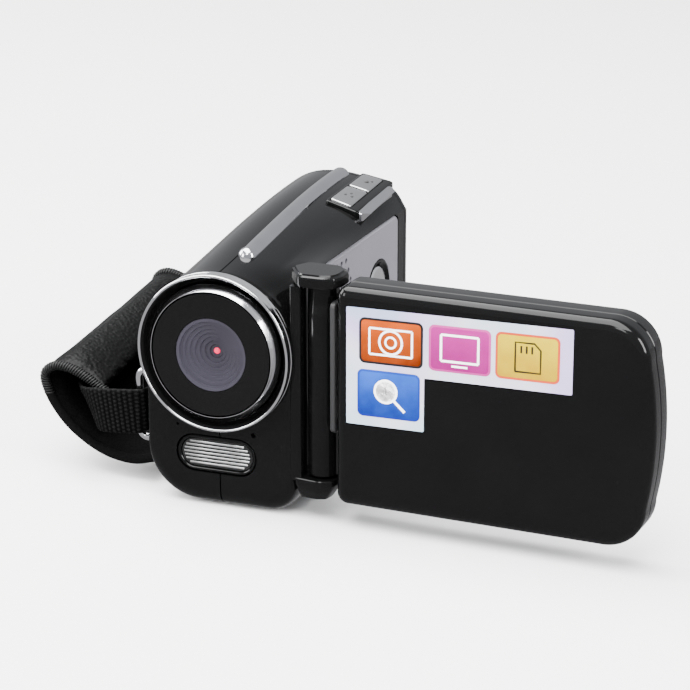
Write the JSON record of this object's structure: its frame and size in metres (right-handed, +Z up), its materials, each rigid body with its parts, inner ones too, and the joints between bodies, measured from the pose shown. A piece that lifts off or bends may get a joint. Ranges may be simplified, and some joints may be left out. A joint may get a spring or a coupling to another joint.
{
  "type": "camcorder",
  "caption": "Pocket camcorder with a round lens bezel, folding and tilting screen panel, silver side panel, top keys, rear buttons and a padded hand strap.",
  "frame": {"origin": "on the flat underside, below the lens axis and midway along the case", "axes": "+Z up, -Y the way the lens looks, +X to the screen side"},
  "size_m": [0.1502, 0.0796, 0.0628],
  "materials": {
    "gloss_black": "polished black injection-moulded plastic",
    "satin_black": "fine satin black plastic",
    "silver_paint": "light silver-grey metallic paint, satin",
    "bright_chrome": "bright plated",
    "dark_glass": "clear over black",
    "eye_glass": "grey-violet coated",
    "ribbed_lamp": "ribbed, bright",
    "printed_label": "pale film with four coloured tiles",
    "leatherette": "grained, dark grey",
    "webbing": "woven, dark grey",
    "steel": "plain",
    "circuit_green": "board with solder mask",
    "cell_wrap": "plastic sleeve",
    "brass": "turned"
  },
  "bodies": {
    "body": {"base_plate": "satin_black", "battery": "cell_wrap", "battery_contact": "bright_chrome", "bezel_flange": "bright_chrome", "card_socket": "steel", "case_screw_1": "steel", "case_screw_2": "steel", "case_screw_3": "steel", "hinge_cap": "gloss_black", "hinge_foot": "gloss_black", "hinge_pin": "steel", "image_sensor": "dark_glass", "key_board": "circuit_green", "key_plate": "gloss_black", "key_trim": "bright_chrome", "lamp_board": "circuit_green", "lamp_frame": "satin_black", "lamp_lens": "ribbed_lamp", "left_shell": "gloss_black", "lens_barrel": "satin_black", "lens_element": "dark_glass", "lens_glass": "eye_glass", "lens_lip": "bright_chrome", "lens_window": "dark_glass", "loudspeaker": "steel", "main_board": "circuit_green", "microphone": "steel", "push_ring": "bright_chrome", "push_switch": "steel", "rear_button_board": "circuit_green", "rear_cover": "gloss_black", "right_shell": "gloss_black", "sensor_board": "circuit_green", "side_panel": "silver_paint", "strap_lug_front": "satin_black", "strap_lug_rear": "satin_black", "strap_pad": "leatherette", "strap_ring_front": "bright_chrome", "strap_ring_rear": "bright_chrome", "strap_webbing": "webbing", "top_strip": "bright_chrome", "tripod_insert": "brass", "usb_socket": "steel"},
    "screen_arm": {"hinge_column": "gloss_black", "swivel_plate": "satin_black", "tilt_shaft": "steel"},
    "screen_panel": {"screen_cover": "gloss_black", "screen_frame": "gloss_black", "screen_glass": "dark_glass", "display_module": "steel", "screen_label": "printed_label"},
    "key_front": {"top_key_front": "silver_paint"},
    "key_rear": {"top_key_rear": "silver_paint"},
    "side_key": {"side_button": "silver_paint"},
    "record_key": {"record_button": "bright_chrome"},
    "play_key": {"play_button": "satin_black"},
    "menu_key": {"menu_button": "satin_black"},
    "power_key": {"power_button": "satin_black"},
    "battery_hatch": {"battery_door": "satin_black"},
    "port_cover": {"port_flap": "satin_black"}
  },
  "joints": [
    {"name": "lcd_swing", "type": "hinge", "parent": "body", "child": "screen_arm", "pos_m": [0.0234, -0.0318, 0.0304], "axis": [0, 0, 1], "range_deg": [0, 92.6]},
    {"name": "lcd_tilt", "type": "hinge", "parent": "screen_arm", "child": "screen_panel", "pos_m": [0.02337, -0.0324, 0.0304], "axis": [0.999, -0.0454, 0], "range_deg": [-90, 180]},
    {"name": "front_key_press", "type": "slide", "parent": "body", "child": "key_front", "axis": [0, 0, -1], "range_m": [0, 0.0005], "stiffness_N_per_m": 300},
    {"name": "rear_key_press", "type": "slide", "parent": "body", "child": "key_rear", "axis": [0, 0, -1], "range_m": [0, 0.0005], "stiffness_N_per_m": 300},
    {"name": "side_button_press", "type": "slide", "parent": "body", "child": "side_key", "axis": [-1, 0, 0], "range_m": [0, 0.0006], "stiffness_N_per_m": 300},
    {"name": "record_press", "type": "slide", "parent": "body", "child": "record_key", "axis": [0, -1, 0], "range_m": [0, 0.0006], "stiffness_N_per_m": 300},
    {"name": "play_press", "type": "slide", "parent": "body", "child": "play_key", "axis": [0, -1, 0], "range_m": [0, 0.0006], "stiffness_N_per_m": 300},
    {"name": "menu_press", "type": "slide", "parent": "body", "child": "menu_key", "axis": [0, -1, 0], "range_m": [0, 0.0006], "stiffness_N_per_m": 300},
    {"name": "power_press", "type": "slide", "parent": "body", "child": "power_key", "axis": [0, -1, 0], "range_m": [0, 0.0006], "stiffness_N_per_m": 300},
    {"name": "battery_door_slide", "type": "slide", "parent": "body", "child": "battery_hatch", "axis": [0, 1, 0], "range_m": [0, 0.012]},
    {"name": "port_flap_swing", "type": "hinge", "parent": "body", "child": "port_cover", "pos_m": [-0.0051, 0.03685, 0.015], "axis": [0, 0, 1], "range_deg": [0, 100]}
  ]
}
